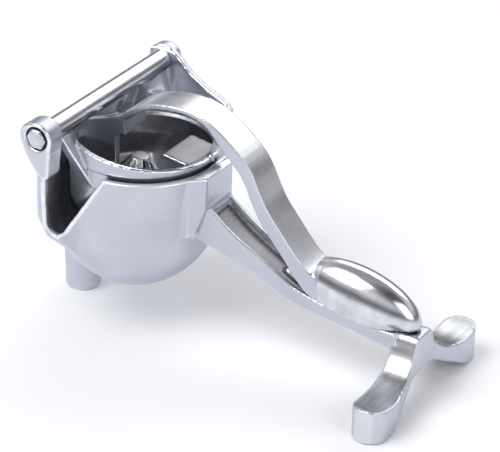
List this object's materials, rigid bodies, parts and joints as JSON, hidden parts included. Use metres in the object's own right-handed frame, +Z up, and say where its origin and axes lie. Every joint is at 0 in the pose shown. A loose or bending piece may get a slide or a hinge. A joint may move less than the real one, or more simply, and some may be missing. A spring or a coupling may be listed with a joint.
{
  "type": "citrus press",
  "caption": "Cast metal table-top fruit press: round bowl with pouring notch and front foot, handle with forked foot, hinged lever with press cup and egg-shaped grip.",
  "frame": {"origin": "centre of the front foot's sole, on the table", "axes": "+X from the front foot towards the forked foot, +Z up, +Y away from the pouring notch"},
  "size_m": [0.2247, 0.1234, 0.128],
  "materials": {
    "cast_aluminium": "satin, bead-blasted casting with polished rims",
    "polished_aluminium": "polished casting",
    "strainer_steel": "brushed sheet",
    "zinc_steel": "bright zinc plate"
  },
  "bodies": {
    "body": {"lower_body": "cast_aluminium", "strainer": "strainer_steel", "bolt_near": "zinc_steel", "bolt_far": "zinc_steel", "washer_near": "zinc_steel", "washer_far": "zinc_steel"},
    "lever": {"upper_lever": "polished_aluminium"}
  },
  "joints": [
    {"name": "lever_hinge", "type": "hinge", "parent": "body", "child": "lever", "pos_m": [0.0177, 0, 0.119], "axis": [0, -1, 0], "range_deg": [0, 105]}
  ]
}
